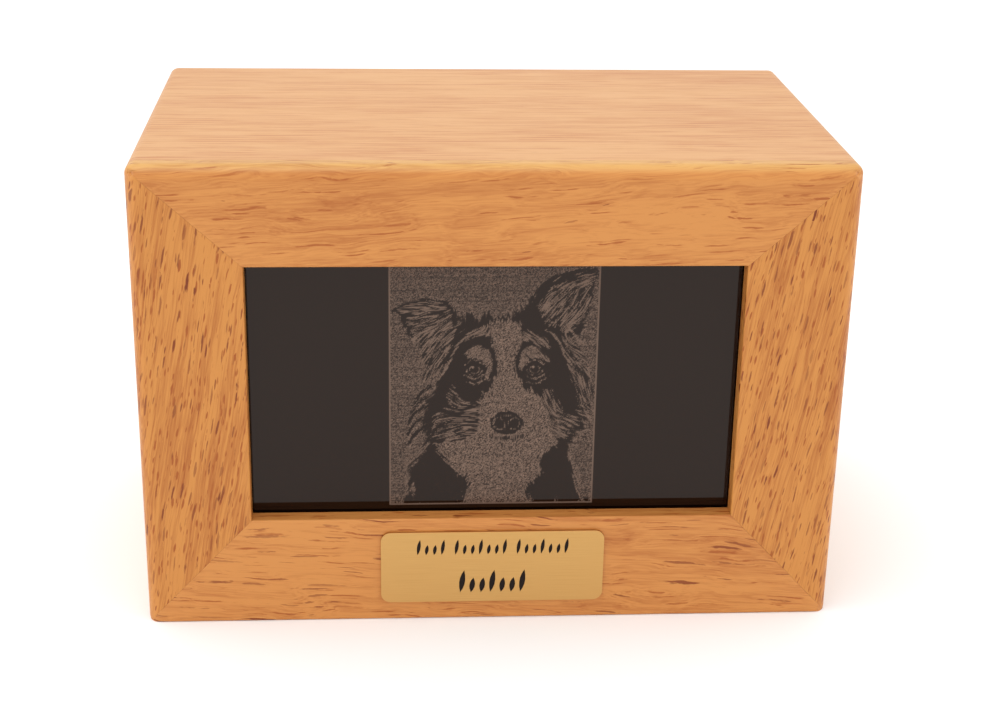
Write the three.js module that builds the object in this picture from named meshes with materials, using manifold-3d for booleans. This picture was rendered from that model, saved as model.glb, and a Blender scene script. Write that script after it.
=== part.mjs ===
// Box urn for a pet's ashes: an oak box with a mitred oak frame on its front, a black marble tile
// let into the back of the frame, and a brass nameplate on the frame's bottom rail.
// Millimetres, +Z up. Pieces are laid out with the box's front face on y = 0, its back towards +y,
// its underside on z = 0 and x = 0 in the middle. The outer group then moves the origin to the
// middle of the underside.
import * as THREE from "three";
import { mergeVertices } from "three/addons/utils/BufferGeometryUtils.js";
import Module from "manifold-3d";

// The box
const boxWidth = 225.4;
const boxHeight = 154.2;
const boxDepth = 140;
const boardThickness = 19;
const jointGap = 0.25;

// Rounded edges: the whole front, the other upright and upper edges, and the underside
const frontRound = 4.8;
const boardRound = 3.2;
const undersideRound = 0.8;
const roundSegments = 7;

// The mitred frame
const frameThickness = 8;
const stileWidth = 34.7;
const topRailHeight = 31.7;
const bottomRailHeight = 36.6;
const lipThickness = 5.9;
const openingChamfer = 0.5;

// The marble tile, on a bead of glue behind the frame's lip, which it laps all round
const tileLap = 7.8;
const tileThickness = 9.5;
const tileClearance = 0.4;
const glueBead = 1.1;

// The brass nameplate, on a film of adhesive
const plateWidth = 73;
const plateHeight = 25.4;
const plateThickness = 0.8;
const plateCorner = 3.2;
const plateRise = 6.7;
const adhesiveFilm = 0.1;

// Two rows of shallow strokes on the nameplate. A group's strokes stand a pitch apart, and a
// wider space parts the groups. Rise is from the plate's lower edge to the row's middle.
const strokeDepth = 0.2;
const strokeRows = [
  { groups: [4, 7, 7], pitch: 2.62, space: 1.9, height: 5.6, width: 1.15, rise: 20 },
  { groups: [7], pitch: 3.3, space: 0, height: 8.2, width: 1.8, rise: 7.4 },
];
const tallEvery = 3;
const shortStroke = 0.66;
const strokeLean = 0.16;
const strokeBelly = 0.4;
const strokeSegments = 5;

// The base panel, let in flush with the underside, and its four screws
const panelThickness = 9.5;
const rabbetWidth = 9.5;
const panelClearance = 0.4;
const screwInset = 15;
const screwLength = 19;
const screwRadius = 1.6;
const screwHeadRadius = 3.5;
const screwHeadHeight = 2.2;
const screwSunk = 0.3;
const screwTip = 3;
const screwClearance = 0.3;
const screwSides = 24;
const recessLength = 3.8;
const recessWidth = 0.9;
const recessDepth = 1.3;

// How far a cutter or an uncut board runs past the surface that trims it, and how close two
// corners are that count as one
const overrun = 5;
const weld = 1e-5;

const openingWidth = boxWidth - 2 * stileWidth;
const openingHeight = boxHeight - topRailHeight - bottomRailHeight;
const openingMiddle = bottomRailHeight + openingHeight / 2;
const tileWidth = openingWidth + 2 * tileLap;
const tileHeight = openingHeight + 2 * tileLap;
const tileFront = lipThickness + glueBead;
const innerSide = boxWidth / 2 - boardThickness;
const innerBack = boxDepth - boardThickness;
const underTop = boxHeight - boardThickness;
const plateProud = adhesiveFilm + plateThickness;

const manifold = await Module();
manifold.setup();

function solidOf(geometry) {
  const bare = geometry.clone();
  bare.deleteAttribute("normal");
  bare.deleteAttribute("uv");
  const merged = mergeVertices(bare, weld);
  const index = Array.from(merged.index.array);
  const triangles = [];
  for (let i = 0; i < index.length; i += 3) {
    const [a, b, c] = index.slice(i, i + 3);
    if (a !== b && b !== c && c !== a) triangles.push(a, b, c);
  }
  return new manifold.Manifold(new manifold.Mesh({
    numProp: 3,
    vertProperties: Float32Array.from(merged.attributes.position.array),
    triVerts: Uint32Array.from(triangles),
  }));
}

function geometryOf(solid) {
  const mesh = solid.getMesh();
  const geometry = new THREE.BufferGeometry();
  geometry.setAttribute("position", new THREE.BufferAttribute(mesh.vertProperties, mesh.numProp));
  geometry.setIndex(new THREE.BufferAttribute(mesh.triVerts, 1));
  geometry.computeVertexNormals();
  return geometry;
}

function box(x0, x1, y0, y1, z0, z1) {
  const geometry = new THREE.BoxGeometry(x1 - x0, y1 - y0, z1 - z0);
  geometry.translate((x0 + x1) / 2, (y0 + y1) / 2, (z0 + z1) / 2);
  return solidOf(geometry);
}

// A flat outline carried along one axis. Outlines are drawn in (y, z) along x, in (x, z) along y
// and in (x, y) along z.
function prism(outline, axis, from, to, bevel = 0) {
  const geometry = new THREE.ExtrudeGeometry(outline, {
    depth: to - from - 2 * bevel,
    curveSegments: roundSegments,
    bevelEnabled: bevel > 0,
    bevelThickness: bevel,
    bevelSize: bevel,
    bevelSegments: 1,
  });
  geometry.translate(0, 0, bevel);
  const right = new THREE.Vector3(1, 0, 0);
  const back = new THREE.Vector3(0, 1, 0);
  const up = new THREE.Vector3(0, 0, 1);
  const turn = new THREE.Matrix4();
  if (axis === "x") turn.makeBasis(back, up, right).setPosition(from, 0, 0);
  if (axis === "y") turn.makeBasis(right, up, back.negate()).setPosition(0, to, 0);
  if (axis === "z") turn.setPosition(0, 0, from);
  geometry.applyMatrix4(turn);
  return solidOf(geometry);
}

// A rectangle with a radius for each corner, from the lowest first corner anticlockwise
function roundedRectangle(u0, v0, u1, v1, radii) {
  const [low, lowFar, highFar, high] = radii;
  const quarter = Math.PI / 2;
  const outline = new THREE.Shape();
  outline.moveTo(u0 + low, v0);
  outline.lineTo(u1 - lowFar, v0);
  outline.absarc(u1 - lowFar, v0 + lowFar, lowFar, -quarter, 0);
  outline.lineTo(u1, v1 - highFar);
  outline.absarc(u1 - highFar, v1 - highFar, highFar, 0, quarter);
  outline.lineTo(u0 + high, v1);
  outline.absarc(u0 + high, v1 - high, high, quarter, 2 * quarter);
  outline.lineTo(u0, v0 + low);
  outline.absarc(u0 + low, v0 + low, low, 2 * quarter, 3 * quarter);
  return outline;
}

// The whole box with its edges rounded after it was glued up. Every outer piece is cut to it.
function roundedBox() {
  const half = boxWidth / 2;
  const fromSide = roundedRectangle(0, 0, boxDepth, boxHeight,
    [undersideRound, undersideRound, boardRound, frontRound]);
  const fromFront = roundedRectangle(-half, 0, half, boxHeight,
    [undersideRound, undersideRound, boardRound, boardRound]);
  const fromAbove = roundedRectangle(-half, 0, half, boxDepth,
    [frontRound, frontRound, boardRound, boardRound]);
  return prism(fromSide, "x", -half - overrun, half + overrun)
    .intersect(prism(fromFront, "y", -overrun, boxDepth + overrun))
    .intersect(prism(fromAbove, "z", -overrun, boxHeight + overrun));
}

const outside = roundedBox();

// The frame's corners: where each mitre starts at the opening and ends at the box's corner
function corner(side, level) {
  const inner = new THREE.Vector2(side * openingWidth / 2, openingMiddle + level * openingHeight / 2);
  const outer = new THREE.Vector2(side * boxWidth / 2, level > 0 ? boxHeight : 0);
  return { inner, mitre: outer.sub(inner) };
}

// One frame piece, mitred from the first corner to the second, with half the joint's gap at each
// end, the opening's front edge eased, and the rabbet for the tile cut in its back
function framePiece(first, second) {
  const along = second.inner.clone().sub(first.inner).normalize();
  const ends = [first, second].map((end, i) => {
    const inward = (i === 0 ? 1 : -1) * jointGap / 2;
    const set = along.clone().multiplyScalar(inward / Math.abs(along.cross(end.mitre.clone().normalize())));
    const inner = end.inner.clone().add(set);
    const mitre = end.mitre.clone().setLength(end.mitre.length() + overrun);
    return { inner, outer: inner.clone().add(mitre) };
  });
  const outline = new THREE.Shape([ends[0].inner, ends[1].inner, ends[1].outer, ends[0].outer]);
  const half = openingWidth / 2;
  const edge = roundedRectangle(-half, openingMiddle - openingHeight / 2,
    half, openingMiddle + openingHeight / 2, [0, 0, 0, 0]);
  const easing = prism(edge, "y", -overrun, openingChamfer, openingChamfer);
  const rabbetHalfWidth = tileWidth / 2 + tileClearance;
  const rabbetHalfHeight = tileHeight / 2 + tileClearance;
  const rabbet = box(-rabbetHalfWidth, rabbetHalfWidth, lipThickness, frameThickness + overrun,
    openingMiddle - rabbetHalfHeight, openingMiddle + rabbetHalfHeight);
  return prism(outline, "y", 0, frameThickness).subtract(easing).subtract(rabbet).intersect(outside);
}

function tile() {
  return box(-tileWidth / 2, tileWidth / 2, tileFront, tileFront + tileThickness,
    openingMiddle - tileHeight / 2, openingMiddle + tileHeight / 2);
}

// One shallow stroke: a pen-like leaf between two arcs, leaning to the right
function strokeCutter(x, z, height, width) {
  const lean = height * strokeLean;
  const outline = new THREE.Shape();
  outline.moveTo(x - lean / 2, z);
  outline.quadraticCurveTo(x + width, z + height * strokeBelly, x + lean / 2, z + height);
  outline.quadraticCurveTo(x - width, z + height * (1 - strokeBelly), x - lean / 2, z);
  const geometry = new THREE.ExtrudeGeometry(outline, {
    depth: strokeDepth + overrun,
    curveSegments: strokeSegments,
    bevelEnabled: false,
  });
  const upright = new THREE.Matrix4().makeRotationX(Math.PI / 2);
  geometry.applyMatrix4(upright.setPosition(0, strokeDepth - plateProud, 0));
  return solidOf(geometry);
}

// The strokes of one row, centred on the plate: a tall one at the start of each few
function strokeRow(row) {
  const count = row.groups.reduce((sum, size) => sum + size, 0);
  const length = (count - 1) * row.pitch + (row.groups.length - 1) * row.space;
  const cutters = [];
  let x = -length / 2;
  for (const size of row.groups) {
    for (let i = 0; i < size; i += 1) {
      const height = row.height * (i % tallEvery === 0 ? 1 : shortStroke);
      cutters.push(strokeCutter(x, plateRise + row.rise - row.height / 2, height, row.width));
      x += row.pitch;
    }
    x += row.space;
  }
  return cutters;
}

function nameplate() {
  const half = plateWidth / 2;
  const outline = roundedRectangle(-half, plateRise, half, plateRise + plateHeight,
    [plateCorner, plateCorner, plateCorner, plateCorner]);
  const plate = prism(outline, "y", -plateProud, -adhesiveFilm);
  return strokeRows.flatMap(strokeRow).reduce((left, cutter) => left.subtract(cutter), plate);
}

// The space that the base panel is let into, with its clearance all round
const boardsFront = frameThickness + jointGap;
const pocketHalfWidth = innerSide + rabbetWidth;
const pocketBack = innerBack + rabbetWidth;
const panelPocket = box(-pocketHalfWidth, pocketHalfWidth, boardsFront - overrun, pocketBack,
  -overrun, panelThickness + jointGap);

const screwX = innerSide + rabbetWidth / 2;
const screwYs = [boardsFront + screwInset, pocketBack - screwInset];

// A screw's outline turned about its axis: head down, tip up, and grown all round by a clearance
function screwBody(clearance, headDrop) {
  const head = screwHeadRadius + clearance;
  const shank = screwRadius + clearance;
  const profile = [
    new THREE.Vector2(0, -headDrop),
    new THREE.Vector2(head, -headDrop),
    new THREE.Vector2(head, clearance),
    new THREE.Vector2(shank, screwHeadHeight + clearance),
    new THREE.Vector2(shank, screwLength - screwTip + clearance),
    new THREE.Vector2(0, screwLength + clearance),
  ];
  const geometry = new THREE.LatheGeometry(profile, screwSides);
  geometry.rotateX(Math.PI / 2);
  return solidOf(geometry);
}

function screw() {
  const half = recessLength / 2;
  const thin = recessWidth / 2;
  const slot = box(-half, half, -thin, thin, -overrun, recessDepth);
  const cross = box(-thin, thin, -half, half, -overrun, recessDepth);
  return screwBody(0, 0).subtract(slot).subtract(cross);
}

const screwPlaces = screwYs.flatMap((y) => [[-screwX, y], [screwX, y]]);

function withScrewHoles(solid) {
  const hole = screwBody(screwClearance, screwSunk + overrun);
  return screwPlaces.reduce((left, [x, y]) => left.subtract(hole.translate([x, y, screwSunk])), solid);
}

function topBoard() {
  const half = boxWidth / 2 + overrun;
  return box(-half, half, boardsFront, boxDepth + overrun, underTop, boxHeight + overrun).intersect(outside);
}

function sideBoard(side) {
  const near = side * innerSide;
  const far = side * (boxWidth / 2 + overrun);
  const board = box(Math.min(near, far), Math.max(near, far), boardsFront, boxDepth + overrun,
    -overrun, underTop - jointGap);
  return withScrewHoles(board.intersect(outside).subtract(panelPocket));
}

function backBoard() {
  const half = innerSide - jointGap;
  return box(-half, half, innerBack, boxDepth + overrun, -overrun, underTop - jointGap)
    .intersect(outside)
    .subtract(panelPocket);
}

function basePanel() {
  const half = pocketHalfWidth - panelClearance;
  return withScrewHoles(box(-half, half, boardsFront, pocketBack - panelClearance, 0, panelThickness));
}

const frontOak = new THREE.MeshStandardMaterial({ color: 0xd98f52, roughness: 0.5, metalness: 0 });
const boardOak = new THREE.MeshStandardMaterial({ color: 0xe6b07c, roughness: 0.5, metalness: 0 });
const marble = new THREE.MeshStandardMaterial({ color: 0x2a2422, roughness: 0.15, metalness: 0 });
const brass = new THREE.MeshStandardMaterial({ color: 0xd9a766, roughness: 0.35, metalness: 0.9 });
const steel = new THREE.MeshStandardMaterial({ color: 0xa8a69f, roughness: 0.35, metalness: 0.9 });

function piece(name, solid, material) {
  const mesh = new THREE.Mesh(geometryOf(solid), material);
  mesh.name = name;
  return mesh;
}

const frame = new THREE.Group();
frame.add(piece("frame_top_rail", framePiece(corner(-1, 1), corner(1, 1)), frontOak));
frame.add(piece("frame_bottom_rail", framePiece(corner(-1, -1), corner(1, -1)), frontOak));
frame.add(piece("frame_left_stile", framePiece(corner(-1, -1), corner(-1, 1)), frontOak));
frame.add(piece("frame_right_stile", framePiece(corner(1, -1), corner(1, 1)), frontOak));

const front = new THREE.Group();
front.add(frame);
front.add(piece("marble_tile", tile(), marble));
front.add(piece("brass_nameplate", nameplate(), brass));

const carcass = new THREE.Group();
carcass.add(piece("top_board", topBoard(), boardOak));
carcass.add(piece("left_side_board", sideBoard(-1), boardOak));
carcass.add(piece("right_side_board", sideBoard(1), boardOak));
carcass.add(piece("back_board", backBoard(), boardOak));
carcass.add(piece("base_panel", basePanel(), boardOak));

screwPlaces.forEach(([x, y], i) => {
  const mesh = piece(`base_screw_${i + 1}`, screw(), steel);
  mesh.position.set(x, y, screwSunk);
  carcass.add(mesh);
});

const urn = new THREE.Group();
urn.name = "box_urn";
urn.add(front, carcass);
urn.position.y = (plateProud - boxDepth) / 2;

export default urn;
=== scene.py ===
import math

import bpy
import numpy as np
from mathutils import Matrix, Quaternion, Vector


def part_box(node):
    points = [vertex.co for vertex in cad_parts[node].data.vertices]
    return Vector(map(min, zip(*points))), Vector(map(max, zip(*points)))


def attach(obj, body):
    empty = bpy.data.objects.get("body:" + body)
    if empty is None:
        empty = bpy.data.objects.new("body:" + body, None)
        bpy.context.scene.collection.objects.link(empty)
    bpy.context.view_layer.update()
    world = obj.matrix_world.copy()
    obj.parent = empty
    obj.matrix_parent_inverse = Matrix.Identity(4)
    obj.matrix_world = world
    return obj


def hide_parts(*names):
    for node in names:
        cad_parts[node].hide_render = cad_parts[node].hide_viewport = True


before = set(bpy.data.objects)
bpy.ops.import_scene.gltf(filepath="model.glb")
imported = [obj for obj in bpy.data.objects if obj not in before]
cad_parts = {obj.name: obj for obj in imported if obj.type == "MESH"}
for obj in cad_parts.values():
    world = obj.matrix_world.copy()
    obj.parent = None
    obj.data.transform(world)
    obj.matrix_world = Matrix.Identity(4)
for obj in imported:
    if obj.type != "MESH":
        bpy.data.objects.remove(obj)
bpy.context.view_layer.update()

# The mitred frame
# Two rails and two stiles of flat-sawn oak, mitred and glued round the tile, which sits in a rabbet in
# their backs. The box's outer edges were rounded once it was glued up, the front ones most.
front_round = 0.0048
board_round = 0.0032
underside_round = 0.0008
eased = 0.0006
mitre_gap = 0.00003
glue_bead = 0.0011
tile_clearance = 0.0004
# Where each axis stands in a point
X, Y, Z = 0, 1, 2

stile_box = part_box("frame_right_stile")
top_rail_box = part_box("frame_top_rail")
bottom_rail_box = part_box("frame_bottom_rail")
tile_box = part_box("marble_tile")
half_width = stile_box[1].x
half_opening = stile_box[0].x
front, frame_back = top_rail_box[0].y, top_rail_box[1].y
back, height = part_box("top_board")[1].yz
opening_foot, opening_head = bottom_rail_box[1].z, top_rail_box[0].z
lip_back = tile_box[0].y - glue_bead

# Each face of the box: its axis, its position on it, and which way the wood lies from it
box_faces = {
    "left": (X, -half_width, 1),
    "right": (X, half_width, -1),
    "front": (Y, front, 1),
    "back": (Y, back, -1),
    "underside": (Z, 0.0, 1),
    "top": (Z, height, -1),
}
box_edges = [
    ("left", "front", front_round), ("right", "front", front_round), ("top", "front", front_round),
    ("underside", "front", underside_round), ("left", "back", board_round), ("right", "back", board_round),
    ("top", "back", board_round), ("underside", "back", underside_round), ("left", "top", board_round),
    ("right", "top", board_round), ("left", "underside", underside_round),
    ("right", "underside", underside_round),
]


def rounding_lines(face, radius, steps=5, past_arc=1.15):
    """Places of lattice lines near a face. They cut an arc of this radius into equal angles, and so lie
    radius * (1 - tan(angle)) in from the face. One more just past the arc's end keeps the flat wood's
    shading flat."""
    axis, position, inward = face
    shares = np.append(1 - np.tan(np.linspace(0, math.pi / 4, steps + 1)), past_arc)
    return position + inward * radius * shares


def round_edge(points, first, second, radius):
    """Rounds the edge between two faces. A point (a, b) from the arc's centre, both towards the edge, moves
    to (a, b) * max(a, b) / hypot(a, b), so the square of wood along the edge becomes a quarter disc."""
    faces = (first, second)
    reach = [np.clip(radius - inward * (points[:, axis] - position), 0, None)
             for axis, position, inward in faces]
    shrink = np.maximum(*reach) / np.maximum(np.hypot(*reach), 1e-12)
    for (axis, _, inward), distance in zip(faces, reach):
        points[:, axis] += inward * distance * (1 - shrink)


def lattice_surface(lines, filled):
    """The boundary of a lattice's filled cells, as points and four-sided faces. Every face between a filled
    and an empty cell is kept, and turned towards the empty one."""
    corner_count = np.array(filled.shape) + 1
    index = np.arange(corner_count.prod()).reshape(corner_count)
    rings = []
    for axis in (X, Y, Z):
        order = (axis, (axis + 1) % 3, (axis + 2) % 3)
        corner = index.transpose(order)
        solid = np.pad(filled.transpose(order), ((1, 1), (0, 0), (0, 0)))
        ring = np.stack([corner[:, :-1, :-1], corner[:, 1:, :-1], corner[:, 1:, 1:], corner[:, :-1, 1:]],
                        axis=-1)
        rings.append(ring[solid[:-1] & ~solid[1:]])
        rings.append(ring[~solid[:-1] & solid[1:]][:, ::-1])
    used, faces = np.unique(np.concatenate(rings), return_inverse=True)
    grid = np.stack(np.meshgrid(*lines, indexing="ij"), axis=-1).reshape(-1, 3)
    return grid[used], faces.reshape(-1, 4)


def new_piece(name, points, faces, sharp_angle=math.radians(32)):
    """An object at the origin with its place in its mesh, smooth but for the edges over the sharp angle."""
    mesh = bpy.data.meshes.new(name)
    mesh.from_pydata(points.tolist(), [], [list(face) for face in faces])
    mesh.polygons.foreach_set("use_smooth", np.ones(len(mesh.polygons), bool))
    mesh.set_sharp_from_angle(angle=sharp_angle)
    piece = bpy.data.objects.new(name, mesh)
    bpy.context.scene.collection.objects.link(piece)
    return piece


def board(name, low, high, hollows=(), extra_lines=(), bend=None):
    """A board between two corners as a lattice surface, without the cells in its hollows. The bend moves
    the whole array of points, and then the box's outer edges are rounded wherever they run through the
    board."""
    lines = []
    for axis in (X, Y, Z):
        cuts = [low[axis], high[axis]] + [corner[axis] for hollow in hollows for corner in hollow]
        arcs = [rounding_lines(box_faces[face], radius) for *pair, radius in box_edges for face in pair
                if box_faces[face][0] == axis]
        arcs += [positions for across, positions in extra_lines if across == axis]
        positions = np.concatenate([cuts, *arcs])
        positions = positions[(positions >= low[axis]) & (positions <= high[axis])]
        # Lines less than a micrometre apart become one
        lines.append(np.unique(positions.round(6)))
    middles = np.meshgrid(*[(line[:-1] + line[1:]) / 2 for line in lines], indexing="ij")
    filled = np.ones(middles[0].shape, bool)
    for near, far in hollows:
        inside = [(middle > a) & (middle < b) for middle, a, b in zip(middles, near, far)]
        filled &= ~(inside[X] & inside[Y] & inside[Z])
    points, faces = lattice_surface(lines, filled)
    if bend:
        bend(points)
    for first, second, radius in box_edges:
        round_edge(points, box_faces[first], box_faces[second], radius)
    return new_piece(name, points, faces)


def frame_piece(name, along, across, outer, inner, outer_ends, inner_ends, rabbet):
    """A rail or stile, as a straight bar from its outer to its inner edge. Its inner front edge is eased,
    then each end slides in with the mitre: in proportion to the way from the outer edge to the inner one.
    It also has lattice lines where the mitre crosses the rounding of the box's edge beyond it, so both
    sides of the joint curve alike."""
    inward = 1 if inner > outer else -1
    inner_face = (across, inner, -inward)
    ease_steps = 3

    def mitre(points):
        round_edge(points, inner_face, box_faces["front"], eased)
        share = (points[:, across] - outer) / (inner - outer)
        start = outer_ends[0] + share * (inner_ends[0] - outer_ends[0]) + mitre_gap
        end = outer_ends[1] + share * (inner_ends[1] - outer_ends[1]) - mitre_gap
        way_along = (points[:, along] - outer_ends[0]) / (outer_ends[1] - outer_ends[0])
        points[:, along] = start + way_along * (end - start)

    low, high = np.zeros(3), np.zeros(3)
    low[along], high[along] = outer_ends
    low[across], high[across] = sorted((outer, inner))
    low[Y], high[Y] = front, frame_back
    hollow = np.array((low, high))
    hollow[:, across] = sorted((rabbet, inner))
    hollow[:, Y] = lip_back, frame_back
    extra = [(across, rounding_lines(inner_face, eased, ease_steps)),
             (Y, rounding_lines(box_faces["front"], eased, ease_steps))]
    for *pair, radius in box_edges:
        for axis, position, inward in (box_faces[face] for face in pair):
            if axis == along:
                end = 0 if inward > 0 else 1
                cuts = rounding_lines((axis, position, inward), radius)
                share = (cuts - outer_ends[end]) / (inner_ends[end] - outer_ends[end])
                extra.append((across, outer + share * (inner - outer)))
    return board(name, low, high, [hollow], extra, mitre)


def add_node(tree, kind, inputs=(), **settings):
    """Adds a shader node. Each input takes a plain value, or another node's output to link it to."""
    node = tree.nodes.new("ShaderNode" + kind)
    for setting, value in settings.items():
        setattr(node, setting, value)
    for socket, value in dict(inputs).items():
        if isinstance(value, bpy.types.NodeSocket):
            tree.links.new(value, node.inputs[socket])
        else:
            node.inputs[socket].default_value = value
    return node


def maths(tree, operation, *values):
    return add_node(tree, "Math", enumerate(values), operation=operation).outputs[0]


def vector_maths(tree, operation, *values):
    node = add_node(tree, "VectorMath", enumerate(values), operation=operation)
    return node.outputs["Value" if operation == "LENGTH" else "Vector"]


def ranged(tree, value, low, high):
    """Stretches a value from 0 to 1 over a range."""
    return maths(tree, "MULTIPLY_ADD", value, high - low, low)


def blended(tree, share, first, second):
    """One colour blended into another by a share from 0 to 1. Sockets 6 and 7 take the two colours."""
    node = add_node(tree, "Mix", {0: share, 6: first, 7: second}, data_type="RGBA")
    return node.outputs[2]


def smooth_step(tree, value, low, high):
    """0 at low and 1 at high with an easy curve between, and level beyond. Low may be the greater one."""
    inputs = {"Value": value, "From Min": low, "From Max": high}
    return add_node(tree, "MapRange", inputs, interpolation_type="SMOOTHSTEP").outputs[0]


def paint(red, green, blue):
    """A colour as a camera shows it, 0 to 255, in the shader's linear values."""
    shown = np.array((red, green, blue)) / 255
    linear = np.where(shown <= 0.04045, shown / 12.92, ((shown + 0.055) / 1.055) ** 2.4)
    return (*linear.tolist(), 1.0)


def new_group(name, inputs, outputs):
    """A shader node group with named sockets. Gives the group, its inputs' sockets and its output node."""
    group = bpy.data.node_groups.new(name, "ShaderNodeTree")
    for socket, kind in inputs.items():
        group.interface.new_socket(socket, in_out="INPUT", socket_type="NodeSocket" + kind)
    for socket, kind in outputs.items():
        group.interface.new_socket(socket, in_out="OUTPUT", socket_type="NodeSocket" + kind)
    return group, group.nodes.new("NodeGroupInput").outputs, group.nodes.new("NodeGroupOutput").inputs


def new_material(name):
    """A material, its node tree and its shader."""
    material = bpy.data.materials.new(name)
    material.use_nodes = True
    return material, material.node_tree, material.node_tree.nodes["Principled BSDF"]


def oak_grain():
    """Oak as a solid pattern, in millimetres with the grain along X and the tree's heart on the X axis.
    Rings are shells of equal width round the heart, and a slow noise bends the whole pattern towards or
    away from it. Rays, figure and pores are long thin ellipsoids, one to a cell of a stretched Voronoi
    pattern, with ragged edges, so they show as dashes along the grain. Pores lie mostly in the early wood
    of each ring."""
    sockets = {"Vector": "Vector", "Light": "Color", "Dark": "Color", "Ray": "Color"}
    amounts = ("Ring width", "Waviness", "Ring contrast", "Streaks", "Rays", "Ray length", "Figure",
               "Figure length", "Pores")
    sockets.update({amount: "Float" for amount in amounts})
    results = {"Color": "Color", "Roughness": "Float", "Height": "Float"}
    group, given, result = new_group("Oak grain", sockets, results)
    to_millimetres, across_grain, bend_size = (1000, 1000, 1000), (0, 1, 1), (34, 11, 11)
    straight = vector_maths(group, "MULTIPLY", given["Vector"], to_millimetres)
    slowly = vector_maths(group, "DIVIDE", straight, bend_size)
    slow = add_node(group, "TexNoise", {"Vector": slowly, "Scale": 1.0, "Detail": 2.0}).outputs[0]
    outward = vector_maths(group, "NORMALIZE", vector_maths(group, "MULTIPLY", straight, across_grain))
    bend = maths(group, "MULTIPLY", maths(group, "SUBTRACT", slow, 0.5), given["Waviness"])
    shift = add_node(group, "VectorMath", {0: outward, "Scale": bend}, operation="SCALE").outputs[0]
    grain = vector_maths(group, "ADD", straight, shift)

    def noise(length, width, detail):
        stretched = vector_maths(group, "DIVIDE", grain, (length, width, width))
        return add_node(group, "TexNoise", {"Vector": stretched, "Scale": 1.0, "Detail": detail}).outputs[0]

    ragged = maths(group, "SUBTRACT", noise(length=3.2, width=0.5, detail=2.0), 0.5)

    def dashes(length, width, share, reach, softness, raggedness=1.6):
        """Ellipsoids in a share of the cells, each of its own length and darkness: 0 outside them. The
        reach is an ellipsoid's half length, half width and half thickness as shares of its cell."""
        cell_size = add_node(group, "CombineXYZ", {0: length, 1: width, 2: width}).outputs[0]
        cells = vector_maths(group, "DIVIDE", grain, cell_size)
        cell = add_node(group, "TexVoronoi", {"Vector": cells, "Scale": 1.0, "Randomness": 1.0})
        from_middle = vector_maths(group, "SUBTRACT", cells, cell.outputs["Position"])
        away = vector_maths(group, "LENGTH", vector_maths(group, "DIVIDE", from_middle, reach))
        chance = add_node(group, "SeparateColor", {0: cell.outputs["Color"]}).outputs
        distance = maths(group, "DIVIDE", away, ranged(group, chance[0], low=0.4, high=1.0))
        edge = maths(group, "MULTIPLY_ADD", ragged, raggedness, distance)
        present = maths(group, "LESS_THAN", chance[1], share)
        darkness = ranged(group, chance[2], low=0.4, high=1.0)
        shape = smooth_step(group, edge, low=1.0, high=1.0 - softness)
        return maths(group, "MULTIPLY", shape, maths(group, "MULTIPLY", present, darkness))

    heart_distance = vector_maths(group, "LENGTH", vector_maths(group, "MULTIPLY", grain, across_grain))
    ring = maths(group, "DIVIDE", heart_distance, given["Ring width"])
    phase = maths(group, "FRACT", ring)
    # A ring opens with dark early wood, which fades out by 0.6 of its width and sets in again from 0.86
    early = maths(group, "ADD", smooth_step(group, phase, low=0.6, high=0.1),
                  smooth_step(group, phase, low=0.86, high=1.0))
    whole_rings = maths(group, "FLOOR", ring)
    year = add_node(group, "TexWhiteNoise", {"W": whole_rings}, noise_dimensions="1D").outputs["Value"]
    band = maths(group, "MULTIPLY", early, ranged(group, year, low=0.25, high=1.0))
    patchy = smooth_step(group, noise(length=26, width=5, detail=2.0), low=0.35, high=0.65)
    rays = dashes(given["Ray length"], width=2.1, share=given["Rays"], reach=(0.5, 0.5, 0.24), softness=0.4)
    figure = dashes(given["Figure length"], width=1.7, share=0.9, reach=(0.5, 0.5, 0.26), softness=0.6)
    pores = dashes(length=4.2, width=0.8, share=0.9, reach=(0.5, 0.4, 0.22), softness=0.5)
    pores = maths(group, "MULTIPLY", pores, ranged(group, band, low=0.3, high=1.0))
    fibre = noise(length=15, width=0.5, detail=3.0)
    streak = noise(length=48, width=3.1, detail=2.0)
    broad = noise(length=120, width=30, detail=1.0)
    tone = maths(group, "MULTIPLY", maths(group, "MULTIPLY", band, patchy), given["Ring contrast"])
    for field, strength in ((fibre, 1.3), (streak, 1.1), (broad, 0.8)):
        change = maths(group, "MULTIPLY", maths(group, "SUBTRACT", field, 0.5), given["Streaks"])
        tone = maths(group, "MULTIPLY_ADD", change, strength, tone)
    tone = maths(group, "MULTIPLY_ADD", pores, given["Pores"], tone)
    tone = maths(group, "MULTIPLY_ADD", figure, given["Figure"], tone)
    plain_tone = 0.18
    share = add_node(group, "Clamp", {0: maths(group, "ADD", tone, plain_tone)}).outputs[0]
    wood = blended(group, share, given["Light"], given["Dark"])
    group.links.new(blended(group, rays, wood, given["Ray"]), result["Color"])
    group.links.new(ranged(group, fibre, low=0.34, high=0.48), result["Roughness"])
    pore_depth, ray_depth, fibre_height = 0.5, 0.35, 0.3
    depth = maths(group, "ADD", maths(group, "MULTIPLY", pores, pore_depth),
                  maths(group, "MULTIPLY", rays, ray_depth))
    relief = maths(group, "SUBTRACT", maths(group, "MULTIPLY", fibre, fibre_height), depth)
    group.links.new(relief, result["Height"])
    return group


oak_group = oak_grain()
# Painted sheen: the frame's top edge is lighter than its front, by a gain on red, green and blue that
# stands in for the light falling on the top
painted_sheen_depth = 0.0027
painted_sheen_gain = (1.07, 1.42, 1.65)


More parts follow.
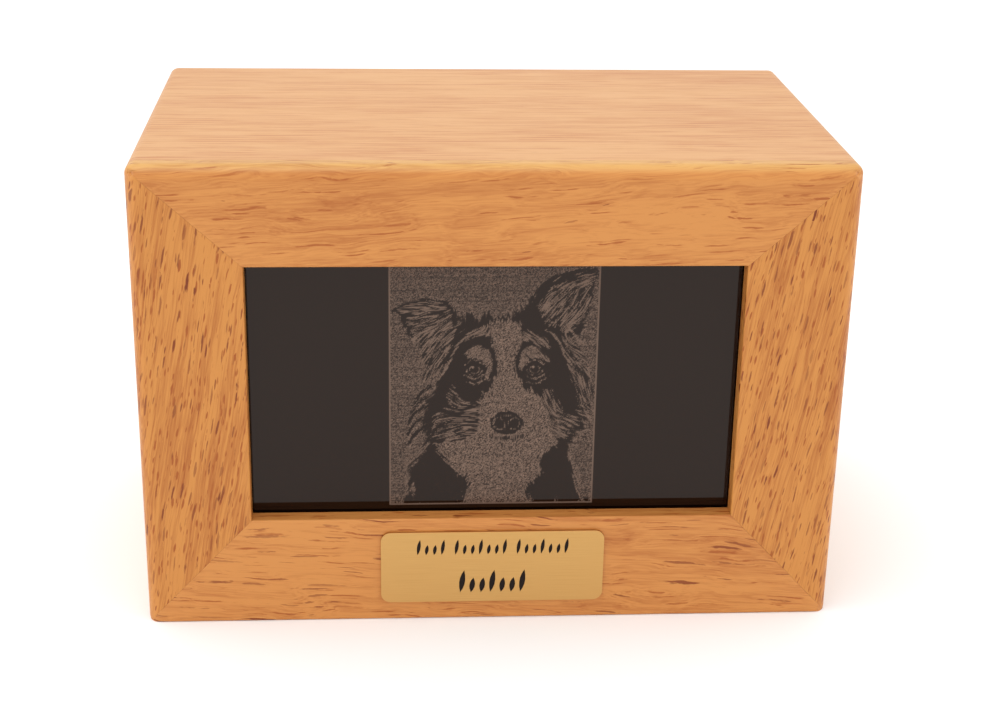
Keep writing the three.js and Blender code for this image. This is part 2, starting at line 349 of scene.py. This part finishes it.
def oak_material(name, turn, shift, sheen_gain=(1, 1, 1), **looks):
    """Lacquered oak. The turn brings the piece's grain on to X, and the shift then moves it away from the
    tree's heart, in metres. The sheen gain paints the light that falls on the top: it sets in over the last
    millimetres below the box's top."""
    material, tree, shader = new_material(name)
    spot = add_node(tree, "TexCoord").outputs["Object"]
    turned = add_node(tree, "Mapping", {"Vector": spot, "Rotation": turn, "Location": shift}).outputs[0]
    grain = add_node(tree, "Group", node_tree=oak_group)
    tree.links.new(turned, grain.inputs["Vector"])
    for socket, value in looks.items():
        grain.inputs[socket.replace("_", " ").capitalize()].default_value = value
    level = add_node(tree, "SeparateXYZ", {0: spot}).outputs[Z]
    # Painted sheen: the oak's colour turns lighter over the last millimetres below the box's top
    painted_sheen_mask = smooth_step(tree, level, height - painted_sheen_depth, height)
    painted_sheen = vector_maths(tree, "MULTIPLY", grain.outputs["Color"], sheen_gain)
    tree.links.new(blended(tree, painted_sheen_mask, grain.outputs["Color"], painted_sheen), shader.inputs["Base Color"])
    tree.links.new(grain.outputs["Roughness"], shader.inputs["Roughness"])
    bump = add_node(tree, "Bump", {"Height": grain.outputs["Height"], "Strength": 0.25, "Distance": 0.0001})
    tree.links.new(bump.outputs[0], shader.inputs["Normal"])
    shader.inputs["IOR"].default_value = 1.41
    return material


rail_colours = {"light": paint(205, 137, 70), "dark": paint(165, 89, 33), "ray": paint(128, 57, 16)}
stile_colours = {"light": paint(202, 134, 63), "dark": paint(160, 84, 27), "ray": paint(120, 50, 10)}
rail_looks = {**rail_colours, "ring_width": 2.6, "waviness": 12.0, "ring_contrast": 0.25, "streaks": 1.0,
              "rays": 0.02, "ray_length": 9.0, "figure": 0.95, "figure_length": 22.0, "pores": 0.3}
bottom_looks = {**rail_looks, "rays": 0.55, "ray_length": 19.0, "figure": 1.1}
stile_looks = {**stile_colours, "ring_width": 3.4, "waviness": 4.0, "ring_contrast": 0.2, "streaks": 1.4,
               "rays": 0.95, "ray_length": 8.5, "figure": 1.5, "figure_length": 5.0, "pores": 0.9}
rail_lean, stile_lean = math.radians(3.5), math.radians(80)
rabbet_side = tile_box[1].x + tile_clearance
rabbet_foot, rabbet_head = tile_box[0].z - tile_clearance, tile_box[1].z + tile_clearance
rail_ends = (-half_width, half_width), (-half_opening, half_opening)
stile_ends = (0.0, height), (opening_foot, opening_head)
# Each part: its name, CAD node and sizes for frame_piece, then the turn, shift and looks of its oak
frame_parts = [
    ("top_rail", "frame_top_rail", (X, Z, height, opening_head, *rail_ends, rabbet_head),
     (0, rail_lean, 0), (0.11, 0.13, -0.09), rail_looks),
    ("bottom_rail", "frame_bottom_rail", (X, Z, 0.0, opening_foot, *rail_ends, rabbet_foot),
     (0, -rail_lean, 0), (0.62, 0.12, 0.035), bottom_looks),
    ("left_stile", "frame_left_stile", (Z, X, -half_width, -half_opening, *stile_ends, -rabbet_side),
     (0, stile_lean, 0), (0.3, 0.16, 0.05), stile_looks),
    ("right_stile", "frame_right_stile", (Z, X, half_width, half_opening, *stile_ends, rabbet_side),
     (0, stile_lean, 0), (0.9, 0.15, -0.02), stile_looks),
]
for name, node, shape, turn, shift, looks in frame_parts:
    piece = frame_piece(name, *shape)
    oak = oak_material("Oak of the " + name.replace("_", " "), turn, shift, painted_sheen_gain, **looks)
    piece.data.materials.append(oak)
    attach(piece, "root")
    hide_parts(node)

# The top and side boards and the back
# Four oak boards, butted and glued into a box behind the frame. The top runs over the others, with its
# grain from side to side, and the others have a rabbet along the bottom for the base panel.
joint_gap = 0.00001
panel_clearance = 0.0004
panel_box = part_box("base_panel")
side_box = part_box("right_side_board")
board_front = frame_back + joint_gap
board_top = side_box[1].z
side_inner = side_box[0].x
back_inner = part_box("back_board")[0].y
top_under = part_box("top_board")[0].z
pocket_half = panel_box[1].x + panel_clearance
pocket_back = panel_box[1].y + panel_clearance
pocket_head = panel_box[1].z + panel_clearance
pocket = ((-pocket_half, board_front, 0.0), (pocket_half, pocket_back, pocket_head))

# The boards' oak is lighter and less orange than the frame's: partly the boards' own tone, partly painted
# sheen for the strong light on the top board, which the sides, back and base panel share.
board_colours = {"light": paint(207, 154, 98), "dark": paint(184, 117, 60), "ray": paint(154, 84, 36)}
top_looks = {**board_colours, "ring_width": 2.4, "waviness": 3.0, "ring_contrast": 0.8, "streaks": 1.15,
             "rays": 0.02, "ray_length": 12.0, "figure": 0.45, "figure_length": 30.0, "pores": 0.9}
side_looks = {**board_colours, "ring_width": 2.8, "waviness": 7.0, "ring_contrast": 0.3, "streaks": 0.9,
              "rays": 0.2, "ray_length": 9.0, "figure": 0.6, "figure_length": 18.0, "pores": 0.4}
along_x, along_y, flat_along_x = (0, 0, 0), (0, 0, -math.pi / 2), (math.pi / 2, 0, 0)
# Each board: its name, CAD node and two corners, then the turn, shift and looks of its oak
box_boards = [
    ("top_plank", "top_board", (-half_width, board_front, top_under), (half_width, back, height),
     flat_along_x, (0.2, 0.25, 0.22), top_looks),
    ("left_side", "left_side_board", (-half_width, board_front, 0.0), (-side_inner, back, board_top),
     along_y, (0.5, 0.2, -0.03), side_looks),
    ("right_side", "right_side_board", (side_inner, board_front, 0.0), (half_width, back, board_top),
     along_y, (0.9, 0.05, -0.06), side_looks),
    ("back_plank", "back_board", (-side_inner + joint_gap, back_inner, 0.0),
     (side_inner - joint_gap, back, board_top), along_x, (0.35, 0.02, -0.08), side_looks),
]
for name, node, low, high, turn, shift, looks in box_boards:
    hollows = () if node == "top_board" else [pocket]
    piece = board(name, low, high, hollows)
    oak = oak_material("Oak of the " + name.replace("_", " "), turn, shift, **looks)
    piece.data.materials.append(oak)
    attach(piece, "root")
    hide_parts(node)

# The base panel
# A flat oak panel that closes the box from below, where the ashes go in. It is let in flush with the
# underside and held by four screws.


def give_material(node, material):
    """Puts a material on a CAD node's mesh in place of its own."""
    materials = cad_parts[node].data.materials
    materials.clear()
    materials.append(material)


base_oak = oak_material("Oak of the base panel", flat_along_x, (0.7, 0.09, 0.03), **side_looks)
give_material("base_panel", base_oak)

# The marble tile
# A polished black marble tile in the frame's rabbet, with a dog's portrait that a laser has frosted on it.
# Nothing is raised: the picture is bare and frosted stone, worked out in millimetres as seen from in front.
panel_left, panel_right = -33.7, 33.0
panel_foot, panel_head = 38.3, 123.0
grid_step = 0.25
metre = 1000
across = np.arange(panel_left, panel_right + grid_step / 2, grid_step)
up = np.arange(panel_foot, panel_head + grid_step / 2, grid_step)
x, z = np.meshgrid(across, up)
rng = np.random.default_rng(seed=7)


def smooth(value, low, high):
    """0 below low and 1 above high, with an easy curve between."""
    share = np.clip((value - low) / (high - low), 0, 1)
    return share * share * (3 - 2 * share)


def curve_through(points, closed, steps=7):
    """A Catmull-Rom curve: between two points it is the cubic whose slope at each is half the way between
    the points on either side."""
    points = np.array(points, float)
    if not closed:
        points = np.concatenate([2 * points[:1] - points[1:2], points, 2 * points[-1:] - points[-2:-1]])
        a, b, c, d = points[:-3], points[1:-2], points[2:-1], points[3:]
    else:
        a, b, c, d = (np.roll(points, -shift, axis=0) for shift in (-1, 0, 1, 2))
    t = (np.arange(steps) / steps)[None, :, None]
    a, b, c, d = (part[:, None, :] for part in (a, b, c, d))
    curve = 0.5 * (2 * b + (c - a) * t + (2 * a - 5 * b + 4 * c - d) * t**2
                   + (3 * b - a - 3 * c + d) * t**3)
    curve = curve.reshape(-1, 2)
    return curve if closed else np.concatenate([curve, points[-2:-1]])


def distance_to(curve, closed):
    """Distance from each point of the grid to a curve. For a closed one it is positive inside, by counting
    how often a level line from the point crosses it."""
    ends = np.roll(curve, -1, axis=0) if closed else curve[1:]
    starts = curve if closed else curve[:-1]
    nearest = np.full(x.shape, np.inf)
    inside = np.zeros(x.shape, bool)
    for (x0, z0), (x1, z1) in zip(starts, ends):
        dx, dz = x1 - x0, z1 - z0
        share = np.clip(((x - x0) * dx + (z - z0) * dz) / max(dx * dx + dz * dz, 1e-9), 0, 1)
        nearest = np.minimum(nearest, np.hypot(x - x0 - share * dx, z - z0 - share * dz))
        if closed and z0 != z1:
            inside ^= ((z0 > z) != (z1 > z)) & (x < x0 + (z - z0) * dx / dz)
    return np.where(inside, nearest, -nearest) if closed else nearest


# Lie of the coat: x, z and the way the hair lies there, in degrees
coat_lie = [
    (-27, 107, 2), (-20, 108, 172), (-22, 103, 15), (-16, 101, 32), (-18, 96, 50), (-19, 90, 60),
    (-19, 84, 64), (-14, 89, 54), (-24, 75, 44), (-24, 67, 56), (-27, 55, 45), (-27, 46, 76),
    (-9, 107, 105), (0, 105, 90), (8, 108, 112), (14, 107, 62), (19, 113, 38), (26, 117, 22), (20, 104, 52),
    (27, 110, 62), (26, 100, 38), (20, 95, 120), (24, 87, 125), (29, 80, 110), (28, 91, 145), (3, 97, 90),
    (4, 76, 90), (-9, 71, 178), (-14, 65, 12), (-12, 77, 142), (-6, 95, 25), (12, 97, 150), (18, 75, 112),
    (25, 69, 158), (21, 65, 150), (-14, 56, 130), (3, 52, 90), (15, 54, 68), (-9, 41, 62), (11, 41, 110),
    (23, 52, 108),
]
# Directions are averaged by their doubled angles, because hair that lies at 0 and at 180 degrees lies alike
turned = np.zeros((2, *x.shape))
for at_x, at_z, degrees in coat_lie:
    doubled = 2 * math.radians(degrees)
    weight = 1 / (1 + (x - at_x) ** 2 + (z - at_z) ** 2) ** 2
    turned += weight * np.array([math.cos(doubled), math.sin(doubled)])[:, None, None]
lie = np.arctan2(turned[1], turned[0]) / 2


def combed(noise, lie, reach):
    """Noise smeared along the lie of the coat: each point takes the mean of the noise met on the way along
    the hair in both directions, in steps of one grid cell, less the further it is."""
    rows, columns = np.indices(noise.shape).astype(float)
    total, weights = noise.copy(), 1.0
    for direction in (1, -1):
        row, column = rows.copy(), columns.copy()
        step_row, step_column = direction * np.sin(lie), direction * np.cos(lie)
        for step in range(1, reach + 1):
            row += step_row
            column += step_column
            near_row = np.clip(row.round().astype(int), 0, noise.shape[0] - 1)
            near_column = np.clip(column.round().astype(int), 0, noise.shape[1] - 1)
            weight = 0.5 + 0.5 * math.cos(math.pi * step / (reach + 1))
            total += weight * noise[near_row, near_column]
            weights += weight
            next_row, next_column = np.sin(lie[near_row, near_column]), np.cos(lie[near_row, near_column])
            same_way = np.sign(next_row * step_row + next_column * step_column)
            same_way[same_way == 0] = 1
            step_row, step_column = next_row * same_way, next_column * same_way
    smeared = total / weights
    return (smeared - smeared.mean()) / smeared.std()


def softened(noise, times):
    """Noise blurred this many times over its neighbours, then brought to a standard deviation of 1."""
    for _ in range(times):
        beside = np.roll(noise, 1, 0) + np.roll(noise, -1, 0) + np.roll(noise, 1, 1) + np.roll(noise, -1, 1)
        noise = (noise + beside) / 5
    return noise / noise.std()


hair = combed(rng.standard_normal(x.shape), lie, reach=8)
locks = softened(combed(rng.standard_normal(x.shape), lie, reach=14), times=3)
grit = rng.standard_normal(x.shape)

# The picture starts as backdrop, and the edges of its parts are broken up by locks and hairs
backdrop_tone = 0.86
broken_edge = 0.7 * locks + 0.6 * hair
tone = np.full(x.shape, backdrop_tone)
loose = np.zeros(x.shape)
backdrop = np.ones(x.shape)


def shade(mask, value, hairiness):
    """Blends a part of the picture towards a tone, from 0 for bare black to 1 for frosted, and sets how
    much single hairs stand out of it."""
    tone[:] += (value - tone) * mask
    loose[:] += (hairiness - loose) * mask
    backdrop[:] *= 1 - mask


def patch(outline, value, hairiness, ragged=0.6, fringe=0.0, soft=0.4):
    """A closed part of the coat, whose edge is broken up by the locks that cross it. Single hairs show as
    deep as the fringe, less and less towards its inner side."""
    fringe_value, fringe_hairiness = 0.34, 0.95
    edge = distance_to(curve_through(outline, True), True) + ragged * broken_edge
    nearness = np.exp(-np.clip(edge, 0, None) / fringe) if fringe else 0.0
    value = value + (fringe_value - value) * nearness
    hairiness = hairiness + (fringe_hairiness - hairiness) * nearness
    shade(smooth(edge, -soft, soft), value, hairiness)


def stroke(points, width, value, hairiness=0.0, ragged=0.15, soft=0.15):
    """A stroke of an even half width with rounded ends."""
    edge = width - distance_to(curve_through(points, False), False) + ragged * hair
    shade(smooth(edge, -soft, soft), value, hairiness)


def oval(at, size, value, hairiness=0.0, soft=0.12, ragged=0.0):
    """An oval of this half width and half height."""
    edge = (1 - np.hypot((x - at[0]) / size[0], (z - at[1]) / size[1])) * min(size) + ragged * hair
    shade(smooth(edge, -soft, soft), value, hairiness)


# The dark coat of head, neck and shoulders
patch([(-28, 37), (-26.5, 43), (-28, 48), (-28, 53), (-23.5, 57.5), (-22.5, 62), (-23.5, 68), (-22, 74),
       (-19, 80), (-19, 88), (-16, 96), (-12, 101), (-10.5, 105), (-4, 104.5), (4, 104.5), (8, 107),
       (12, 110), (18, 106), (21, 98), (25, 91), (28, 82), (31, 73), (30, 67), (26, 62), (25, 57), (27, 50),
       (28, 44), (30.5, 37)], value=0.0, hairiness=0.25, ragged=1.2, fringe=1.6)
# The ear that folds over, and its fringe
patch([(-12, 101), (-12.5, 106), (-16, 109), (-22, 109.8), (-27, 108.6), (-32.5, 106), (-30.3, 104.3),
       (-29, 101), (-27, 97.5), (-24.8, 97.2), (-20, 100), (-15, 100)],
      value=0.04, hairiness=0.15, ragged=0.35)
patch([(-14, 104.3), (-16.3, 107.8), (-22, 109), (-31, 106.3), (-27, 104.2), (-20.5, 103.9)],
      value=0.42, hairiness=0.8, ragged=0.4)
patch([(-14, 102.5), (-20, 104), (-27.5, 103), (-26.5, 100), (-24.5, 94), (-23, 88), (-21.5, 81.5),
       (-17.5, 84), (-16, 90), (-13.8, 96)], value=0.37, hairiness=0.85, ragged=0.6)
# The raised ear
patch([(12, 106), (12.5, 111), (14.5, 114.6), (18, 116.8), (23, 118.4), (31.3, 119.6), (31.5, 115),
       (30.8, 110), (29, 104), (26.5, 97), (20, 97), (15, 100)], value=0.03, hairiness=0.12, ragged=0.4)
patch([(14, 107.5), (16, 112), (19.5, 114.8), (24.5, 116.6), (30.2, 117.8), (30.2, 112.5), (28.8, 107),
       (26.4, 101), (22, 99.5), (17, 101.5)], value=0.38, hairiness=0.85, ragged=0.7)
# The loose coat behind the cheek on the right
patch([(24, 97), (29, 92), (31, 84), (32, 74), (29, 68), (26.5, 80), (23, 90)],
      value=0.31, hairiness=0.75, ragged=0.8)
# The blaze, the muzzle and the chest
patch([(-2.2, 101), (-0.8, 95), (0.3, 89), (0.4, 84), (-1.2, 80), (-4.4, 76), (-5.6, 70), (-6, 65),
       (-12, 62), (-17.5, 60), (-15.5, 55.5), (-12, 50.5), (-8.2, 46), (-8.5, 42), (-9.5, 37), (12.5, 37),
       (11, 44), (15, 49), (16.5, 56), (21, 61), (19.5, 66), (19, 71), (15.5, 76), (11, 79.5), (7.6, 83),
       (7, 87), (7.8, 92), (8.6, 97), (8, 101), (3.5, 102.6)],
      value=1.0, hairiness=0.25, ragged=0.6, fringe=0.5)
# Cheeks
patch([(-5.5, 74), (-11, 73.5), (-17.5, 71), (-19, 67.5), (-18.5, 62), (-13, 61.5), (-6, 64)],
      value=0.35, hairiness=0.8, ragged=0.7)
patch([(15.5, 76.5), (18.5, 79), (20, 75), (22.5, 71), (27, 68.5), (24.5, 64), (20, 62), (18, 68)],
      value=0.38, hairiness=0.8, ragged=0.7)
patch([(-13.5, 80), (-11, 76.5), (-8.5, 74), (-13, 73.5), (-15, 76)],
      value=0.36, hairiness=0.7, ragged=0.4)
# Brows
patch([(-3, 100.5), (-7.5, 98.8), (-10, 96), (-7, 96.4), (-4, 97.8), (-1.6, 97)],
      value=0.55, hairiness=0.75, ragged=0.4)
stroke([(-7.5, 98.2), (-11.5, 94.5), (-14, 89.5), (-16.5, 84.5), (-18, 82.5)],
       width=0.35, value=0.75, hairiness=0.5)
patch([(9.3, 99), (14, 97), (18, 93.2), (15, 93.8), (11.5, 94.6), (9, 95.6)],
      value=0.52, hairiness=0.75, ragged=0.4)
patch([(-9.2, 90.6), (-6.5, 94), (-3, 93.2), (-0.4, 89.5), (-0.2, 85), (-1.6, 82), (-3, 83.5), (-2.6, 86.6),
       (-5.5, 89.2)], value=0.72, hairiness=0.4, ragged=0.25)
patch([(7.9, 84.5), (7.7, 89.5), (9.2, 92.8), (12, 93.8), (15, 92), (17.4, 88.4), (13.2, 89.9),
       (10.4, 88.4), (9.4, 85.6)], value=0.72, hairiness=0.45, ragged=0.25)
stroke([(16, 99.3), (19.2, 96.8), (21.8, 92.5), (24.4, 85.7)], width=0.35, value=0.75, hairiness=0.5)
stroke([(22.5, 101), (26, 96.5), (29, 94)], width=0.3, value=0.7, hairiness=0.5)
# The dark lines beside the blaze
stroke([(-6.4, 95.4), (-2.6, 94.3), (-0.4, 90.8), (-0.1, 86.3), (-1.3, 83.2)],
       width=0.5, value=0.03, hairiness=0.1, ragged=0.3)
stroke([(11.4, 95), (8.9, 93.2), (7.5, 89.8), (7.4, 86.3), (8.9, 83.8)],
       width=0.5, value=0.03, hairiness=0.1, ragged=0.3)
# Eyes
for eye_x in (-6.4, 12.9):
    oval((eye_x, 85.7), (3.2, 2.8), value=0.04, hairiness=0.05, soft=0.2)
    oval((eye_x, 85.6), (2.8, 2.0), value=0.58, hairiness=0.3)
    oval((eye_x, 85.9), (2.2, 2.1), value=0.05)
    oval((eye_x, 85.9), (1.8, 1.7), value=0.52, hairiness=0.4)
    oval((eye_x, 85.9), (1.25, 1.25), value=0.0)
    oval((eye_x - 0.5, 86.6), (0.45, 0.38), value=1.0)
    stroke([(eye_x - 3.3, 85.9), (eye_x - 1.8, 87.4), (eye_x, 87.9), (eye_x + 1.8, 87.4),
            (eye_x + 3.3, 85.8)], width=0.62, value=0.02)
    stroke([(eye_x - 2.8, 87.6), (eye_x, 89.0), (eye_x + 2.8, 87.5)], width=0.2, value=0.65, hairiness=0.3)
    stroke([(eye_x - 3.0, 83.8), (eye_x, 82.5), (eye_x + 3.0, 83.9)],
           width=0.28, value=0.66, hairiness=0.3)
    stroke([(eye_x - 2.4, 81.4), (eye_x + 0.6, 81.0), (eye_x + 3.4, 82.5)],
           width=0.22, value=0.56, hairiness=0.4)
# The nose and the chin
nose_x = 4.2
patch([(-1.6, 63.2), (1, 60.9), (4.4, 61.2), (8, 61), (10.2, 63.4), (4.3, 62.6)],
      value=0.36, hairiness=0.6, ragged=0.4)
oval((nose_x, 67.4), (5.3, 4.3), value=0.05, hairiness=0.08, soft=0.3, ragged=0.12)
stroke([(-0.4, 69.2), (1.4, 71.0), (nose_x, 71.4), (7.0, 71.0), (8.8, 69.2)], width=0.22, value=0.75)
oval((nose_x, 69.8), (2.2, 0.45), value=0.5, hairiness=0.5, soft=0.2)
for side in (-1, 1):
    stroke([(nose_x + side * 1.3, 68.2), (nose_x + side * 2.6, 69.2), (nose_x + side * 4.0, 68.3),
            (nose_x + side * 4.3, 66.8)], width=0.17, value=0.62)
    stroke([(nose_x + side * 1.2, 65.2), (nose_x + side * 2.7, 65.0), (nose_x + side * 3.9, 65.9)],
           width=0.2, value=0.66)
    stroke([(nose_x + side * 0.5, 68.0), (nose_x + side * 0.7, 66.4), (nose_x + side * 0.5, 64.6)],
           width=0.14, value=0.6)
stroke([(nose_x, 65.0), (nose_x, 63.2), (4.3, 61.8)], width=0.25, value=0.02)
# Locks that stand out from the neck
for neck_x, neck_z in ((-20.6, 80), (-21.8, 76.5), (-22.6, 73), (-23, 69), (-22.8, 65.5)):
    stroke([(neck_x, neck_z), (neck_x - 2.6, neck_z - 2.0), (neck_x - 4.4, neck_z - 5.4)],
           width=0.5, value=0.06, hairiness=0.2, ragged=0.35)
    stroke([(neck_x - 0.6, neck_z - 1.8), (neck_x - 2.9, neck_z - 4.0), (neck_x - 4.2, neck_z - 6.8)],
           width=0.28, value=0.7, hairiness=0.4)
# Light hairs at the shoulder's edge and along the neck
stroke([(24.6, 57), (26.6, 50.5), (27.2, 45), (30.4, 38)], width=0.3, value=0.9, hairiness=0.3)
stroke([(27.6, 76), (29.4, 71.5), (31.6, 67.5)], width=0.3, value=0.75, hairiness=0.5)

# Frosting: fine grit, dimmed line by line in the backdrop, and even where single hairs stand out. Its
# brightest grit is the brightest value of all, and so the frosting is a share of that.
brightest_grit = 1.6
mean_grit, grit_spread = 0.61, 0.6
even_dimming, line_dimming = 0.22, 0.4
hair_strength = 0.45
hair_frost, border_frost = 0.95, 0.85
border_width = 0.6
picture = smooth(tone + hair_strength * loose * hair, 0.3, 0.7)
scan = np.repeat(rng.uniform(0, 1, (len(up), 1)), len(across), axis=1)
dimming = backdrop * (even_dimming + line_dimming * scan**2)
gritty = np.clip(mean_grit + grit_spread * grit, 0, brightest_grit) * (1 - dimming)
frost = picture * (gritty + (hair_frost - gritty) * smooth(loose, 0.3, 0.7))
border = np.minimum.reduce([x - panel_left, panel_right - x, z - panel_foot])
frost[border < border_width] = border_frost
rim = np.ones(x.shape, bool)
rim[1:-1, 1:-1] = False
frost[rim] = 0
frost /= brightest_grit


def engraved_tile():
    """The tile as a closed box. The portrait's grid is a part of its front, with a plain margin on each
    side, and carries the frosting point by point."""
    (left, face, foot), (right, rear, head) = tile_box
    corners = [(side, depth, level) for depth in (face, rear)
               for side, level in ((left, foot), (right, foot), (right, head), (left, head))]
    grid = np.stack([x.ravel() / metre, np.full(x.size, face), z.ravel() / metre], axis=-1)
    index = np.arange(x.size).reshape(x.shape)
    quads = np.stack([index[:-1, :-1], index[:-1, 1:], index[1:, 1:], index[1:, :-1]], axis=-1)
    a, b, c, d, rear_a, rear_b, rear_c, rear_d = range(x.size, x.size + 8)
    margins = [[a, b, *index[0, ::-1]], [b, c, *index[::-1, -1]], [c, d, *index[-1]], [d, a, *index[:, 0]]]
    sides = [[b, a, rear_a, rear_b], [c, b, rear_b, rear_c], [d, c, rear_c, rear_d], [a, d, rear_d, rear_a],
             [rear_b, rear_a, rear_d, rear_c]]
    faces = [*quads.reshape(-1, 4).tolist(), *margins, *sides]
    piece = new_piece("engraved_tile", np.concatenate([grid, corners]), faces)
    frosting = piece.data.attributes.new("frost", "FLOAT", "POINT")
    frosting.data.foreach_set("value", np.append(frost.ravel(), np.zeros(len(corners))).astype(np.float32))
    return piece


black_stone, frosted_stone = (0.005, 0.002, 0.001, 1), (0.253, 0.167, 0.124, 1)
tile_stone, stone_tree, stone_shader = new_material("Engraved black marble")
frosted = add_node(stone_tree, "Attribute", attribute_name="frost").outputs["Fac"]
stone_colour = blended(stone_tree, frosted, black_stone, frosted_stone)
stone_tree.links.new(stone_colour, stone_shader.inputs["Base Color"])
stone_tree.links.new(ranged(stone_tree, frosted, low=0.06, high=0.96), stone_shader.inputs["Roughness"])
stone_shader.inputs["IOR"].default_value = 1.41
stone_shader.inputs["Specular Tint"].default_value = (1.0, 0.82, 0.74, 1)
tile = engraved_tile()
tile.data.materials.append(tile_stone)
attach(tile, "root")
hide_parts("marble_tile")

# The brass nameplate
# A thin plate of brushed brass with rounded corners, stuck on the bottom rail. Its two rows of shallow
# strokes are cut in and filled with black.
brushing_scale = (60, 1, 9000)
# Only the strokes' floors lie behind this depth and face the front
stroke_floor = -0.07035
facing_front = -0.5
brass, brass_tree, brass_shader = new_material("Brushed brass")
plate_spot = add_node(brass_tree, "TexCoord").outputs["Object"]
brush_lines = vector_maths(brass_tree, "MULTIPLY", plate_spot, brushing_scale)
brushing = add_node(brass_tree, "TexNoise", {"Vector": brush_lines, "Scale": 1.0, "Detail": 2.0}).outputs[0]
plate_depth = add_node(brass_tree, "SeparateXYZ", {0: plate_spot}).outputs[Y]
face_direction = add_node(brass_tree, "NewGeometry").outputs["True Normal"]
facing = add_node(brass_tree, "SeparateXYZ", {0: face_direction}).outputs[Y]
blackened = maths(brass_tree, "MULTIPLY", maths(brass_tree, "GREATER_THAN", plate_depth, stroke_floor),
                  maths(brass_tree, "LESS_THAN", facing, facing_front))
bare_brass = blended(brass_tree, brushing, paint(194, 149, 88), paint(214, 171, 108))
brass_colour = blended(brass_tree, blackened, bare_brass, paint(22, 9, 5))
brass_tree.links.new(brass_colour, brass_shader.inputs["Base Color"])
brass_tree.links.new(maths(brass_tree, "SUBTRACT", 1.0, blackened), brass_shader.inputs["Metallic"])
brass_roughness = maths(brass_tree, "MAXIMUM", ranged(brass_tree, brushing, low=0.25, high=0.45), blackened)
brass_tree.links.new(brass_roughness, brass_shader.inputs["Roughness"])
give_material("brass_nameplate", brass)

# The base screws
# Four countersunk steel wood screws with a cross recess. They hold the base panel, and run through it into
# the side boards.
steel, _, steel_shader = new_material("Screw steel")
steel_shader.inputs["Base Color"].default_value = (0.42, 0.41, 0.39, 1)
steel_shader.inputs["Metallic"].default_value = 1.0
steel_shader.inputs["Roughness"].default_value = 0.32
for number in range(1, 5):
    give_material("base_screw_" + str(number), steel)

# The floor, the lights and the camera
# A pale floor under soft light from all round, with a large lamp above the box and a weaker one at each
# side. The camera stands where the photograph was taken from.
floor_half = 6.0
floor_corners = np.array([(-1, -1, 0), (1, -1, 0), (1, 1, 0), (-1, 1, 0)]) * floor_half
floor = new_piece("floor", floor_corners, [(0, 1, 2, 3)])
floor_paint, _, floor_shader = new_material("Pale floor")
floor_shader.inputs["Base Color"].default_value = (0.95, 0.95, 0.95, 1)
floor_shader.inputs["Roughness"].default_value = 0.9
floor.data.materials.append(floor_paint)

sky = bpy.data.worlds.new("Soft light")
sky.use_nodes = True
sky_light = sky.node_tree.nodes["Background"].inputs
sky_light["Color"].default_value = (1.0, 1.0, 1.0, 1)
sky_light["Strength"].default_value = 1.04
bpy.context.scene.world = sky


def soft_lamp(name, size, power, position, aim):
    """A round lamp of this size in metres and power in watts, turned to face the point that it aims at."""
    lamp = bpy.data.lights.new(name, "AREA")
    lamp.shape = "DISK"
    lamp.size = size
    lamp.energy = power
    holder = bpy.data.objects.new(name, lamp)
    holder.location = position
    holder.rotation_euler = (Vector(aim) - Vector(position)).to_track_quat("-Z", "Y").to_euler()
    bpy.context.scene.collection.objects.link(holder)


soft_lamp("lamp_over", 1.2, 9.0, (-0.3, -0.2, 1.8), (0, 0, 0.05))
soft_lamp("lamp_left", 0.9, 3.0, (-1.3, -0.1, 0.5), (0, 0, 0.08))
soft_lamp("lamp_right", 0.9, 3.0, (1.3, -0.1, 0.5), (0, 0, 0.08))

camera_at = Vector((-0.0363, -0.5996, 0.2993))
yaw, pitch, roll = math.radians(4.048), math.radians(21.302), math.radians(1.105)
ahead = Vector((math.sin(yaw) * math.cos(pitch), math.cos(yaw) * math.cos(pitch), -math.sin(pitch)))
lens = bpy.data.cameras.new("camera")
lens.lens = 65.41
lens.sensor_width = 36.0
lens.clip_start = 0.01
camera = bpy.data.objects.new("camera", lens)
camera.location = camera_at
camera.rotation_mode = "QUATERNION"
camera.rotation_quaternion = ahead.to_track_quat("-Z", "Y") @ Quaternion((0, 0, 1), roll)
bpy.context.scene.collection.objects.link(camera)
bpy.context.scene.camera = camera
bpy.context.scene.view_settings.view_transform = "Standard"
